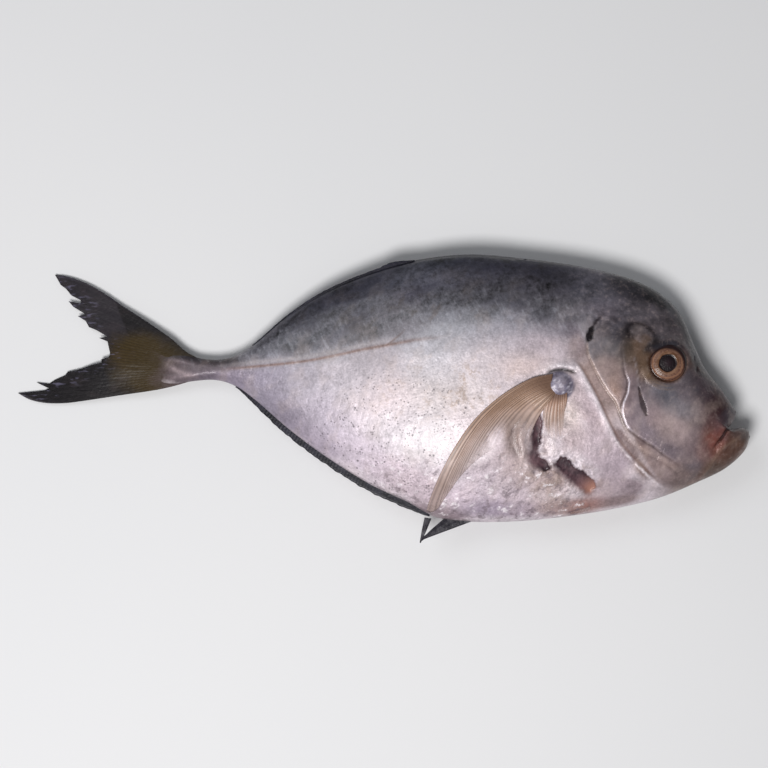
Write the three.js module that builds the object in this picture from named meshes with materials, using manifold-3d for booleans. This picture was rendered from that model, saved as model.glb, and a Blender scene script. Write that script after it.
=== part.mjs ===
// A moonfish, whole and raw, lying on its left flank with the tail drooping to the table.
// Millimetres. +X runs to the snout, +Y to the back, +Z up out of the right flank.
// The origin is under the middle of the bounding box, on the surface that the fish lies on.
//
// The body is one solid. The fins and the eyeballs are pieces of their own, each in its own
// node, a hair's breadth clear of the body. Every thin fin is a flat box of small cells that
// is stretched between two long edges and then laid against the body.

import * as THREE from "three";
import { mergeVertices } from "three/addons/utils/BufferGeometryUtils.js";
import Module from "manifold-3d";

const wasm = await Module();
wasm.setup();

// ---- Driving dimensions -------------------------------------------------------------------

const seatHeight = 14; // the fish's plane of symmetry above the table, along the trunk
const tailHeight = 0.75; // the same plane at the tips of the tail fin
const bendFrom = -150; // where along X the droop of the tail ends
const bendTo = 40; // and where it begins
const gap = 0.32; // between a fin or an eyeball and the body
const finThickness = 0.9;
const medianFinThickness = 1.2; // tail, dorsal and anal fins, whose rays are in two halves
const bodyRings = 46;
const bodySides = 36;

// ---- Outlines in the plane of symmetry ----------------------------------------------------

// Each line is a smooth curve through its points.
const line = (points) =>
  new THREE.CatmullRomCurve3(points.map(([x, y]) => new THREE.Vector3(x, y, 0)));

// From the tail stalk along the back, down the steep forehead to the upper lip.
const back = line([
  [-73.5, 16.2], [-64, 15], [-57, 16.2], [-49.5, 20.6], [-36, 31.8], [-22, 40.7],
  [-4, 48.2], [14, 53], [32.5, 54.9], [55, 53.2], [78, 49.8], [96, 44.9],
  [107, 38.8], [113.5, 31.6], [118.4, 20.5], [122.5, 11.8], [129.4, 2.7], [134.1, -4.9],
]);

// From the tail stalk along the belly and the throat to the tip of the jutting lower jaw.
const belly = line([
  [-73.5, 7.2], [-64, 7.2], [-57, 5.2], [-49.5, 0], [-36, -11.7], [-22, -22],
  [-4, -33.1], [9.5, -39.4], [20, -44.9], [33, -46.6], [52, -46.4], [69, -44.7],
  [88, -41.7], [105.5, -37.4], [119, -31.9], [130.5, -26.2], [137.6, -19.5], [139.5, -14],
]);

// Down the front of the closed mouth, from the upper lip into the notch and over the lower lip.
const mouth = line([
  [134.1, -4.9], [133.6, -7.2], [132.2, -10.4], [134.5, -11], [137.8, -11.5], [139.5, -14],
]);
const mouthShare = 0.9; // the mouth's notch only bends the last tenth of the body

// ---- Thickness ----------------------------------------------------------------------------

// Half the body's thickness at its thickest, by share of the way from the tail to the mouth.
const girth = line([
  [0, 2.5], [0.06, 2.7], [0.14, 4.3], [0.26, 7.9], [0.38, 11.9], [0.5, 14.5],
  [0.62, 15.5], [0.74, 15], [0.84, 12.2], [0.92, 8.8], [1, 5.6],
]);
const edgeFlatness = 2.4; // a higher number keeps the flank flatter before it turns over
const edgeSharpness = 0.72; // one half would be a round edge, and one a knife edge
const lipRounding = 0.035; // the share of the body over which the lips round off

const smoothstep = (from, to, x) => THREE.MathUtils.smoothstep(x, from, to);

const planeHeight = (x) =>
  tailHeight + (seatHeight - tailHeight) * smoothstep(bendFrom, bendTo, x);

const halfThickness = (along, across) => {
  const flank = 1 - Math.abs(2 * across - 1) ** edgeFlatness;
  const lip = Math.min(1, (1 - along) / lipRounding);
  const rounded = 0.35 + 0.65 * Math.sqrt(1 - (1 - lip) ** 2);
  return curveHeight(girth, along) * Math.max(flank, 0) ** edgeSharpness * rounded;
};

// A point's y on a curve that runs steadily along x, by halving.
function curveHeight(curve, x) {
  let low = 0;
  let high = 1;
  for (let i = 0; i < 24; i++) {
    const middle = (low + high) / 2;
    if (curve.getPoint(middle).x < x) low = middle;
    else high = middle;
  }
  return curve.getPoint((low + high) / 2).y;
}

// ---- Stretching a sheet between edges -----------------------------------------------------

// The point at (along, across) of a sheet between two edges. end, if given, is the shape of
// the far end, and it bends the sheet from the share endFrom onwards.
function onSheet(edge0, edge1, along, across, end = null, endFrom = 0) {
  const ruled = (a) => edge0.getPointAt(a).lerp(edge1.getPointAt(a), across);
  const point = ruled(along);
  if (end) {
    const pull = end.getPointAt(across).sub(ruled(1));
    const share = endFrom ? smoothstep(endFrom, 1, along) : along;
    point.addScaledVector(pull, share);
  }
  return point;
}

// Moves every vertex of a geometry, then drops all but its positions and welds it.
function reshape(geometry, place) {
  const position = geometry.attributes.position;
  const vertex = new THREE.Vector3();
  for (let i = 0; i < position.count; i++) {
    place(vertex.fromBufferAttribute(position, i));
    position.setXYZ(i, vertex.x, vertex.y, vertex.z);
  }
  geometry.deleteAttribute("normal");
  geometry.deleteAttribute("uv");
  return mergeVertices(geometry, 1e-4);
}

// ---- Solids -------------------------------------------------------------------------------

const toSolid = (geometry) =>
  new wasm.Manifold(
    new wasm.Mesh({
      numProp: 3,
      vertProperties: geometry.attributes.position.array,
      triVerts: new Uint32Array(geometry.index.array),
    }),
  );

function toGeometry(solid) {
  const mesh = solid.getMesh();
  const geometry = new THREE.BufferGeometry();
  geometry.setAttribute("position", new THREE.BufferAttribute(mesh.vertProperties, 3));
  geometry.setIndex(new THREE.BufferAttribute(mesh.triVerts, 1));
  return geometry;
}

// The body starts as an upright drum: its height runs from tail to mouth, and its rim round
// the fish. The flesh is pressed flat where it bears on the table.
function bodyGeometry() {
  const drum = new THREE.CylinderGeometry(1, 1, 1, bodySides, bodyRings);
  return reshape(drum, (vertex) => {
    const along = vertex.y + 0.5;
    const angle = Math.atan2(vertex.z, vertex.x);
    const rim = Math.hypot(vertex.x, vertex.z);
    const across = 0.5 - 0.5 * Math.cos(angle) * rim;
    const side = Math.sign(Math.round(Math.sin(angle) * 1e6));
    const half = halfThickness(along, across) * rim;
    const point = onSheet(back, belly, along, across, mouth, mouthShare);
    const height = planeHeight(point.x) - side * half;
    vertex.set(point.x, point.y, Math.max(height, 0));
  });
}

// A thin fin: a box whose cells are spread over a sheet. place gives the point in the middle
// of the fin's thickness for (along, across).
function finGeometry(cellsAlong, cellsAcross, thickness, place) {
  const box = new THREE.BoxGeometry(1, 1, 1, cellsAlong, cellsAcross, 1);
  return reshape(box, (vertex) => {
    const middle = place(vertex.x + 0.5, vertex.y + 0.5);
    vertex.set(middle.x, middle.y, middle.z + vertex.z * thickness);
  });
}

// The box turns inside out when its sheet runs the other way, so its triangles turn back.
function facingOut(geometry) {
  const index = geometry.index.array;
  if (toSolid(geometry).volume() < 0)
    for (let i = 0; i < index.length; i += 3) index.subarray(i, i + 2).reverse();
  return geometry;
}

// ---- The body's surface, for laying fins and eyes on --------------------------------------

const wholeBody = facingOut(bodyGeometry());
const bodyProbe = new THREE.Mesh(
  wholeBody,
  new THREE.MeshBasicMaterial({ side: THREE.DoubleSide }),
);
const farAway = 100;

// The height of the right flank (side 1) or the left flank (side -1) over a point. Past the
// body's edge it is the plane of symmetry.
function flankHeight(x, y, side) {
  const ray = new THREE.Raycaster(
    new THREE.Vector3(x, y, side * farAway),
    new THREE.Vector3(0, 0, -side),
  );
  const [hit] = ray.intersectObject(bodyProbe);
  return hit ? hit.point.z : planeHeight(x);
}

// ---- Eyeballs -----------------------------------------------------------------------------

const eyeCentre = { x: 106.7, y: 13.5 };
const eyeRadius = 7.1;
const eyeHalfDepth = 3.2;
const eyeProud = 0.9; // how far the eyeball stands out of the head

function eyeSolid(side, growth) {
  const radius = eyeRadius + growth;
  const ball = reshape(new THREE.SphereGeometry(1, 24, 14), () => {});
  const skin = flankHeight(eyeCentre.x, eyeCentre.y, side);
  return toSolid(ball)
    .scale([radius, radius, eyeHalfDepth + growth])
    .translate([eyeCentre.x, eyeCentre.y, skin + side * (eyeProud - eyeHalfDepth)]);
}

// ---- Paired fins --------------------------------------------------------------------------

// The long sickle of the pectoral fin: its stiff leading edge, then its soft trailing edge.
const pectoralLead = line([
  [63.5, 10.2], [55, 7.7], [47.5, 3.6], [40, -2], [33.8, -8.2], [28.8, -15],
  [24.4, -22.5], [20.6, -30.5], [17.6, -38.4], [16.4, -41.8],
]);
const pectoralTrail = line([
  [66.2, 1.6], [58.5, -8.5], [50, -13], [42, -15], [37.5, -18.5], [32.8, -23],
  [29, -27.5], [25.4, -33.5], [22.4, -38], [20.5, -41.4],
]);

// Small blades behind the throat, one on each side of the belly's keel.
const pelvicLead = line([[78.5, -40.6], [75.5, -41.6], [71.5, -42.6]]);
const pelvicTrail = line([[77.5, -42.4], [75, -42.8], [71.8, -43.3]]);

// Lays a fin on a flank. On the left it is caught between the body and the table.
function laidOn(side, lead, trail) {
  const off = gap + finThickness / 2;
  const lowest = finThickness / 2 + 0.03;
  return (along, across) => {
    const point = onSheet(lead, trail, along, across);
    point.z = Math.max(flankHeight(point.x, point.y, side) + side * off, lowest);
    return point;
  };
}

// ---- Median fins --------------------------------------------------------------------------

// The forked tail: the outer edges of its two lobes, and the ragged edge between their tips.
const tailTop = line([
  [-74, 16.2], [-77, 19.3], [-83, 24.6], [-95, 32.2], [-107, 40.3], [-119.5, 46.5], [-124.8, 47.4],
]);
const tailBottom = line([
  [-74, 7.4], [-80, 5.3], [-98, 2.2], [-113, 0], [-125.6, -1.7], [-134.5, -0.7], [-141, 2.2],
]);
const tailFork = line([
  [-124.8, 47.4], [-118, 39], [-111, 28], [-105.5, 21.5], [-103.3, 17.8],
  [-107, 14.6], [-116.5, 11.6], [-126, 7], [-132, 3.6], [-141, 2.2],
]);

// The dorsal fin lies folded along the back as a low ridge, from just past its middle to the
// tail stalk. Its outer edge is given as a height over the back, by share of the fin.
const dorsalFrom = 0.385;
const dorsalTo = 0.07;
const dorsalHeight = line([[0, 0.5], [0.06, 1.2], [0.16, 1.9], [0.3, 1.3], [0.7, 1.1], [1, 0.7]]);

// The anal fin is the same along the belly, and opens with the pointed lobe of its first rays.
const analFrom = 0.51;
const analTo = 0.075;
const analHeight = line([
  [0, 0.4], [0.05, 1.6], [0.085, 3.4], [0.11, 7], [0.125, 10.8], [0.14, 5.6], [0.156, 2.7],
  [0.3, 2.6], [0.75, 2.2], [1, 0.9],
]);

// A ridge that stands off an outline of the body, outwards to the left (1) or right (-1) of it.
function ridgeOn(outline, from, to, height, outwards) {
  return (along, across) => {
    const share = THREE.MathUtils.lerp(from, to, along);
    const foot = outline.getPointAt(share);
    const tangent = outline.getTangentAt(share);
    const normal = new THREE.Vector3(-tangent.y, tangent.x, 0).multiplyScalar(outwards);
    foot.addScaledVector(normal, gap + across * curveHeight(height, along));
    foot.z = planeHeight(foot.x);
    return foot;
  };
}

// ---- Materials ----------------------------------------------------------------------------

const skin = new THREE.MeshStandardMaterial({ color: 0xb4abb4, roughness: 0.38, metalness: 0.35 });
const finSkin = new THREE.MeshStandardMaterial({ color: 0x8b7660, roughness: 0.5, metalness: 0.05 });
const tailSkin = new THREE.MeshStandardMaterial({ color: 0x4d4632, roughness: 0.5, metalness: 0.05 });
const foldedFin = new THREE.MeshStandardMaterial({ color: 0x5d5a6c, roughness: 0.45, metalness: 0.1 });
const iris = new THREE.MeshStandardMaterial({ color: 0x9a6a48, roughness: 0.15, metalness: 0.1 });

// ---- Assembly -----------------------------------------------------------------------------

const fish = new THREE.Group();

function add(name, geometry, material) {
  const mesh = new THREE.Mesh(geometry, material);
  mesh.name = name;
  fish.add(mesh);
}

const pectoral = (side, thickness) =>
  facingOut(finGeometry(18, 5, thickness, laidOn(side, pectoralLead, pectoralTrail)));

// The left fin beds into the soft flank that rests on it, in a hollow a gap wider all round.
const finBed = toSolid(pectoral(-1, finThickness + 2 * gap));
let trunk = toSolid(wholeBody).subtract(eyeSolid(1, gap)).subtract(eyeSolid(-1, gap));
for (const [x, y] of [[gap, gap], [-gap, gap], [gap, -gap], [-gap, -gap]])
  trunk = trunk.subtract(finBed.translate([x, y, 0]));

add("body", toGeometry(trunk), skin);

for (const [word, side] of [["right", 1], ["left", -1]]) {
  add(`${word}_eye`, toGeometry(eyeSolid(side, 0)), iris);
  add(`${word}_pectoral_fin`, pectoral(side, finThickness), finSkin);
  const pelvic = laidOn(side, pelvicLead, pelvicTrail);
  add(`${word}_pelvic_fin`, facingOut(finGeometry(4, 2, finThickness, pelvic)), finSkin);
}

add(
  "tail_fin",
  facingOut(
    finGeometry(12, 22, medianFinThickness, (along, across) => {
      const point = onSheet(tailTop, tailBottom, along, across, tailFork);
      point.z = planeHeight(point.x);
      return point;
    }),
  ),
  tailSkin,
);

const dorsal = ridgeOn(back, dorsalFrom, dorsalTo, dorsalHeight, 1);
add("dorsal_fin", facingOut(finGeometry(30, 1, medianFinThickness, dorsal)), foldedFin);

const anal = ridgeOn(belly, analFrom, analTo, analHeight, -1);
add("anal_fin", facingOut(finGeometry(96, 2, medianFinThickness, anal)), foldedFin);

// The origin goes under the middle of the whole fish.
const box = new THREE.Box3().setFromObject(fish, true);
const middle = box.getCenter(new THREE.Vector3());
fish.position.set(-middle.x, -middle.y, -box.min.z);

export default fish;
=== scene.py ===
"""A whole raw moonfish that lies on its left flank on a pale table, seen from straight above.

Metres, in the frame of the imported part: +X to the snout, +Y to the back, +Z out of the right
flank. Every piece is drawn in millimetres in the fish's plane of symmetry and then settled.
"""

import bmesh
import bpy
import numpy as np
from mathutils import Matrix, Vector, noise
from mathutils.bvhtree import BVHTree


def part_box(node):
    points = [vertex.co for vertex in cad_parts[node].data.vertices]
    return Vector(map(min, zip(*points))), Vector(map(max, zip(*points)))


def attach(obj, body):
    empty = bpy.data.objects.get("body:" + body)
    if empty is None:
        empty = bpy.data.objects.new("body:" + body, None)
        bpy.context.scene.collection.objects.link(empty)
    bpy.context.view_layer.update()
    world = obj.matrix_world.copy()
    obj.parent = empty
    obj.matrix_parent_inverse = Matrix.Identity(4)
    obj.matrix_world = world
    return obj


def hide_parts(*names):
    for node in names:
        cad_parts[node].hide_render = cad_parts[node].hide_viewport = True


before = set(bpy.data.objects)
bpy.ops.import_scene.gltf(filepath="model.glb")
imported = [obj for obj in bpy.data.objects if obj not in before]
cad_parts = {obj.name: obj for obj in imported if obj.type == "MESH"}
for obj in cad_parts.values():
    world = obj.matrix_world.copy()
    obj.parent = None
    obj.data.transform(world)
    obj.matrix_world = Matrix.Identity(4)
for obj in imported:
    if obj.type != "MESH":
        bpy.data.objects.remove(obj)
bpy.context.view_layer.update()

# ---- The view ----
# A long lens straight above the flank, high enough to leave a margin all round the fish.
# The picture's middle is a little above and ahead of the middle of the fish's box.

MM = 0.001
LENS_HEIGHT = 0.8247


def put(name, data):
    """A new object in the scene."""
    thing = bpy.data.objects.new(name, data)
    bpy.context.scene.collection.objects.link(thing)
    return thing


view = put("view", bpy.data.cameras.new("view"))
view.location = (0.0013, 0.0059, LENS_HEIGHT)
view.data.lens = 100
view.data.sensor_width = 36
view.data.clip_end = 20
bpy.context.scene.camera = view

# ---- The table and the studio ----
# A pale seamless table. One broad soft lamp hangs close to the lens and gives the wet flank its
# glow, a second fills in from over the back, and the room is a dim pale grey.

TABLE_HALF = 4


def as_piece(name, bm):
    """Turns a finished bmesh into a smooth object in the scene."""
    mesh = bpy.data.meshes.new(name)
    bm.to_mesh(mesh)
    bm.free()
    mesh.shade_smooth()
    return put(name, mesh)


top = bmesh.new()
bmesh.ops.create_grid(top, x_segments=1, y_segments=1, size=TABLE_HALF)
table = as_piece("table", top)


def lamp(name, place, target, size, power, colour):
    light = put(name, bpy.data.lights.new(name, "AREA"))
    light.data.shape = "DISK"
    light.data.size = size
    light.data.energy = power
    light.data.color = colour
    light.location = place
    light.rotation_euler = (Vector(target) - Vector(place)).to_track_quat("-Z", "Y").to_euler()
    light.visible_camera = False


lamp("key", (-0.2, -0.38, 1.0), (0.02, 0, 0), size=0.42, power=9.6, colour=(1, 0.985, 0.975))
lamp("fill", (-0.7, 0.6, 1.1), (0, 0, 0), size=0.8, power=3.5, colour=(0.95, 0.97, 1))

room = bpy.data.worlds.new("room")
room.use_nodes = True
room.node_tree.nodes["Background"].inputs["Color"].default_value = (0.86, 0.87, 0.9, 1)
room.node_tree.nodes["Background"].inputs["Strength"].default_value = 0.2
bpy.context.scene.world = room
bpy.context.scene.view_settings.view_transform = "Standard"

# ---- The body ----
# Head, trunk and tail stalk are one piece of flesh in one skin, like a flat purse sewn along
# the back and the belly. It is laid out from its outlines, then the head's plates, the mouth,
# the fin's socket and the torn skin are sculpted into it, and its colours are dyed on, with
# painted highlights and painted shade along many of its ridges, folds and hollows.

# The right eye's centre ties the drawings to the frame.
EYE = np.array([106.7, 13.5])
eye_low, eye_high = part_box("right_eye")
eye_middle = (eye_low + eye_high) / 2 / MM
OFFSET = Vector((eye_middle.x - EYE[0], eye_middle.y - EYE[1], 0))

SEAT = 14  # the plane of symmetry above the table, along the trunk
TAIL_SEAT = 0.75  # the same plane at the tips of the tail
CLEARANCE = 0.02  # the least height of anything above the table
MOUTH_SHARE = 0.9  # from here on the mouth's line bends the body
LIP_ROUNDING = 0.035
ROOT_ROUNDING = 0.01
EDGE_POWERS = (2.4, 0.72)  # how full the body's section is, and how sharp its edges
WELD = 1e-4


def curve(points, steps=24):
    """A dense run of points along a smooth curve through the given ones."""
    knots = np.array(points, float)
    knots = np.vstack([2 * knots[0] - knots[1], knots, 2 * knots[-1] - knots[-2]])
    spans = np.sqrt(np.linalg.norm(np.diff(knots, axis=0), axis=1))
    t = np.linspace(0, 1, steps, endpoint=False)[:, None]
    runs = []
    for i in range(1, len(knots) - 2):
        before, here, after, beyond = knots[i - 1 : i + 3]
        a, b, c = spans[i - 1 : i + 2]
        leave = ((here - before) / a - (after - before) / (a + b) + (after - here) / b) * b
        arrive = ((after - here) / b - (beyond - here) / (b + c) + (beyond - after) / c) * b
        runs.append(
            (2 * t**3 - 3 * t**2 + 1) * here
            + (t**3 - 2 * t**2 + t) * leave
            + (3 * t**2 - 2 * t**3) * after
            + (t**3 - t**2) * arrive
        )
    return np.vstack([*runs, knots[-2:-1]])


def at(path, share):
    """The points at shares of a path's length."""
    length = np.cumsum(np.linalg.norm(np.diff(path, axis=0), axis=1))
    length = np.concatenate([[0], length]) / length[-1]
    return np.stack([np.interp(share, length, axis) for axis in path.T], axis=-1)


def rise(x, start, end):
    """0 up to start, 1 from end on, and a smooth step between. It falls if end is first."""
    t = np.clip((x - start) / (end - start), 0, 1)
    return t * t * (3 - 2 * t)


# From the flesh over the tail's root along the back and down the steep forehead to the lip.
BACK = curve([
    (-89.2, 14.6), (-85, 17.6), (-78, 17.6), (-71.5, 15.9), (-64, 15), (-57, 16.2), (-49.5, 20.6),
    (-36, 31.8), (-22, 40.7), (-4, 48.2), (14, 53), (32.5, 54.9), (55, 53.2), (78, 49.8),
    (96, 44.9), (107, 38.8), (113.5, 31.6), (118.4, 20.5), (122.5, 11.8), (129.4, 2.7),
    (134.4, -5),
])
# From the same place along the belly and the throat to the tip of the lower jaw.
BELLY = curve([
    (-89.2, 14.2), (-90.5, 9), (-87, 5.3), (-80, 5.6), (-72.5, 6.8), (-64, 7.2), (-57, 5.2),
    (-49.5, 0), (-36, -11.7), (-22, -22), (-4, -33.1), (9.5, -39.4), (20, -44.9), (33, -46.6),
    (52, -46.4), (69, -44.7), (88, -41.7), (105.5, -37.4), (119, -31.9), (130.5, -26.2),
    (137.8, -19.3), (139.6, -14.4),
])
# Down the front of the closed mouth.
MOUTH = curve([
    (134.4, -5), (134.2, -6.8), (132.9, -9.2), (131.6, -11), (133.6, -11.3), (136.8, -10.9),
    (139, -12.2), (139.6, -14.4),
])
# Half the thickness at the middle of the flank, from the tail's root to the mouth.
GIRTH = curve([
    (-90.5, 0.1), (-86, 0.28), (-80, 1), (-74, 2.2), (-59, 2.7), (-43, 4.3), (-20, 7.9),
    (6.5, 11.9), (34.5, 14.5), (63.5, 15.5), (92, 15), (112.5, 12.2), (125, 8.8), (137, 5.6),
])


def seat_height(x):
    return TAIL_SEAT + (SEAT - TAIL_SEAT) * rise(x, -150, 40)


def trunk(along, across, side):
    """The plain body: points by their shares along it and across it from back to belly."""
    a, b = at(BACK, along), at(BELLY, along)
    flat = a + (b - a) * across[:, None]
    lip_pull = at(MOUTH, across) - (BACK[-1] + (BELLY[-1] - BACK[-1]) * across[:, None])
    flat += lip_pull * rise(along, MOUTH_SHARE, 1)[:, None]
    half = np.interp((a[:, 0] + b[:, 0]) / 2, GIRTH[:, 0], GIRTH[:, 1])
    half *= np.maximum(1 - np.abs(2 * across - 1) ** EDGE_POWERS[0], 0) ** EDGE_POWERS[1]
    for end in ((1 - along) / LIP_ROUNDING, along / ROOT_ROUNDING):
        half *= np.sqrt(1 - (1 - np.minimum(1, end)) ** 2)
    height = seat_height(flat[:, 0]) + side * half
    return np.column_stack([flat, np.maximum(height, CLEARANCE)])


def sewn(name, cells, place, finer=()):
    """A closed skin of two sheets: a grid folded over at its middle and sewn along its rims.

    place(along, across, side) gives the points, on the upper sheet where side is 1 and on the
    lower where it is -1. Each test in finer picks edges by the same shares, to be halved.
    """
    bm = bmesh.new()
    bmesh.ops.create_grid(bm, x_segments=cells[0], y_segments=2 * cells[1], size=1)

    def shares(flat):
        return flat[:, 0] / 2 + 0.5, 1 - np.abs(flat[:, 1]), np.where(flat[:, 1] > 0, 1, -1)

    for test in finer:
        ends = np.array([[v.co[:2] for v in edge.verts] for edge in bm.edges])
        chosen = test(*shares(ends.mean(axis=1)))
        picked = [edge for edge, wanted in zip(list(bm.edges), chosen) if wanted]
        bmesh.ops.subdivide_edges(bm, edges=picked, cuts=1, use_grid_fill=True)

    found = shares(np.array([v.co[:2] for v in bm.verts]))
    layers = [bm.verts.layers.float.new(word) for word in ("along", "across", "side")]
    for vert, point, *values in zip(bm.verts, place(*found), *found):
        vert.co = point
        for layer, value in zip(layers, values):
            vert[layer] = value
    bmesh.ops.remove_doubles(bm, verts=bm.verts, dist=WELD)
    bmesh.ops.holes_fill(bm, edges=bm.edges, sides=0)
    bmesh.ops.recalc_face_normals(bm, faces=bm.faces)
    return as_piece(name, bm)


def read(mesh, word):
    """A piece's points, or one of its point attributes, as an array."""
    if word == "points":
        values = np.zeros(len(mesh.vertices) * 3)
        mesh.vertices.foreach_get("co", values)
        return values.reshape(-1, 3)
    values = np.zeros(len(mesh.vertices))
    mesh.attributes[word].data.foreach_get("value", values)
    return values


def store(mesh, **layers):
    """Writes arrays as point attributes: a number each or, in four columns, a colour."""
    for word, values in layers.items():
        kind, field = ("FLOAT", "value") if values.ndim == 1 else ("FLOAT_COLOR", "color")
        mesh.attributes.new(word, kind, "POINT").data.foreach_set(field, values.ravel())


def beside(line, flat, reach=14):
    """How far points lie to the left of a line, as one walks it, and where along it they are.

    Points farther off than reach aren't measured.
    """
    line = at(line, np.linspace(0, 1, 61))
    far, share = np.full(len(flat), float(reach)), np.zeros(len(flat))
    near = np.all((flat > line.min(0) - reach) & (flat < line.max(0) + reach), axis=1)
    step = np.diff(line, axis=0)
    gap = flat[near, None] - line[:-1]
    t = np.clip((gap * step).sum(-1) / (step**2).sum(-1), 0, 1)
    off = np.linalg.norm(gap - t[..., None] * step, axis=-1)
    best = off.argmin(axis=1)
    rows = np.arange(len(best))
    turn = step[best, 0] * gap[rows, best, 1] - step[best, 1] * gap[rows, best, 0]
    far[near] = np.where(turn < 0, -1, 1) * off[rows, best]
    share[near] = (best + t[rows, best]) / len(step)
    return far, share


def ends(share, start, end):
    """A mask along a line that comes in up to start and goes out from the share end to 1."""
    return rise(share, 0, start) * rise(share, 1, end)


def spot(flat, x, y, length, width, turn=0):
    """A soft oval patch: 1 in its middle, a third at its edge. turn is in degrees."""
    c, s = np.cos(np.radians(turn)), np.sin(np.radians(turn))
    dx, dy = flat[:, 0] - x, flat[:, 1] - y
    return np.exp(-(((dx * c + dy * s) / length) ** 2) - ((dy * c - dx * s) / width) ** 2)


def ink(code):
    """A colour's linear red, green and blue from its screen code."""
    screen = np.array([int(code[i : i + 2], 16) for i in (1, 3, 5)]) / 255
    return np.where(screen < 0.04045, screen / 12.92, ((screen + 0.055) / 1.055) ** 2.4)


# The free edges of the head's plates, from their upper ends down.
CHEEK_EDGE = curve([
    (89.2, 24), (89.9, 17.3), (90.9, 9.6), (91.9, 7), (91.4, 2.4), (89.9, -1.3), (89.4, -4),
    (89.9, -6.8), (91.8, -10.6), (94.9, -13), (98.6, -15.5), (102.3, -17.7), (106.7, -21.1),
    (111.7, -24.2), (116.6, -27.6),
])
COVER_EDGE = curve([
    (76.4, 23), (76.8, 17.3), (78.3, 13.6), (80.6, 8.9), (84, 3.1), (87, -0.9), (88.6, -5),
    (90.2, -9.5), (93.5, -14.5),
])
GIRDLE_EDGE = curve([
    (70, 15), (73.2, 12.2), (76.4, 6.8), (79.6, 0.8), (82.6, -5.6), (85.6, -11.6), (88.9, -17),
    (93.7, -22.4), (98.6, -27), (103.4, -31.4), (110, -35),
])
MEMBRANE_EDGE = curve([
    (88, -8), (91.5, -14.4), (96, -18.4), (101.5, -21.6), (107, -24.6), (112, -29), (113.5, -32),
])
# Where the head's colours give way to the trunk's.
NECK = curve([
    (73, 60), (75, 42), (76.2, 24), (77.2, 16), (80.6, 8.9), (87, -0.9), (91, -10), (98, -23),
    (105, -33), (110, -42),
])
CHEEK_SLIT = curve([(95.6, 4.6), (96.3, 1), (97.4, -2.6), (98.5, -5.8)])
CHEEK_CREASE = curve([(93.7, 17.3), (94.7, 11.5), (95.6, 5)])
CLEFT = curve([
    (132.4, -11), (130, -11.4), (128.3, -13.9), (126.4, -16.2), (124.6, -18.6), (123.4, -21),
])
JAW_LINE = curve([
    (136.6, -12.6), (132.4, -15.8), (129, -17.8), (126.7, -20.2), (125, -22.8), (123.4, -25.6),
    (120.8, -29.6),
])
UPPER_JAW = curve([
    (126.5, -9.5), (122, -12.5), (118.6, -15.5), (119.4, -19.5), (122, -22.5), (121, -26),
])
LATERAL = curve([
    (-82, 12.2), (-64, 11.5), (-46, 12.8), (-30, 14.5), (-18.8, 16.5), (-8, 18.8), (1.5, 20.5),
    (13.7, 22.6), (21.5, 23.4), (30, 24.6),
])
LATERAL_FORK = curve([(2.2, 20.7), (4.3, 22.4), (7.6, 25.2), (9.4, 28)])
SHADE_LINE = curve([
    (-92, 26), (-74, 22), (-60, 18.5), (-46, 17.4), (-23, 20), (0, 25.4), (20, 30), (33, 31.6),
    (66, 30.5), (82, 29), (100, 22), (125, 6), (140, -8),
])
ARMPIT_TEAR = curve([
    (58.9, -4.2), (59.8, -8.4), (59.6, -12.4), (59.2, -16.4), (58.3, -19), (59.6, -21.4),
    (62.2, -23.8), (63.2, -25.8), (61.6, -27.2), (58.6, -26.2), (56, -25.2), (54.4, -22),
    (55.2, -18), (55.2, -13.8), (56.4, -9.6), (57.6, -6.4), (58.9, -4.2),
])
CHEST_TEAR = curve([
    (64, -24.4), (65.6, -22.4), (67.5, -21), (70.2, -22.8), (72.2, -25.2), (74.8, -26.6),
    (77.6, -28.6), (80.2, -31), (80.4, -33.6), (77.6, -36.2), (74.4, -34.2), (71, -31.8),
    (68.2, -29.2), (65.6, -26.8), (64, -24.4),
])
KNOB = (65.9, 5.1)
KNOB_HOOD = curve([(60.8, 8.8), (62.6, 10.3), (65.4, 11), (68.6, 10.9), (71, 10.2), (73, 9)])


def tail_root(flat):
    """How far the flesh has given way to the tail's rays: 0 on the stalk, 1 on the fin."""
    return rise(flat[:, 0] - 0.3 * np.abs(flat[:, 1] - 11), -74, -95)


def fine_near(reach, *lines, both_sides=False):
    """A test that picks the skin's cells close to any of these lines."""

    def test(along, across, side):
        flat = trunk(along, across, side)[:, :2]
        close = np.min([np.abs(beside(line, flat)[0]) for line in lines], axis=0) < reach
        return close & (both_sides | (side > 0))

    return test


def head_or_line(along, across, side):
    head = trunk(along, across, side)[:, 0] > np.where(side > 0, 50, 84)
    return head | fine_near(2.5, LATERAL, LATERAL_FORK)(along, across, side)


body = sewn(
    "body_skin", (170, 66), trunk,
    finer=(
        head_or_line,
        fine_near(1.7, CHEEK_EDGE, COVER_EDGE, GIRDLE_EDGE, CHEEK_SLIT, CLEFT, ARMPIT_TEAR,
                  CHEST_TEAR, KNOB_HOOD, LATERAL, LATERAL_FORK),
    ),
)
plain = BVHTree.FromPolygons(
    [tuple(v.co) for v in body.data.vertices], [tuple(p.vertices) for p in body.data.polygons]
)


def flank_height(flat, side):
    """The plain body's height over points, or the plane of symmetry past its outline."""
    heights = []
    outside = side * 100
    for x, y in flat:
        hit = plain.ray_cast(Vector((x, y, outside)), Vector((0, 0, -side)))[0]
        heights.append(hit.z if hit else seat_height(x))
    return np.array(heights)


points = read(body.data, "points")
flat, side = points[:, :2], read(body.data, "side")
ahead, up = flat.T
across = read(body.data, "across")
right = side > 0
relief = np.zeros(len(flat))
tone = np.zeros((len(flat), 4))
silver = np.ones(len(flat))


def crumple(size, octaves=4):
    """A fractal unevenness of the skin, about -1 to 1, in lumps of the given size."""
    return np.array([
        noise.fractal(Vector((x / size, y / size, s)), 0.6, 2.1, octaves)
        for (x, y), s in zip(flat, side)
    ])


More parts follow.
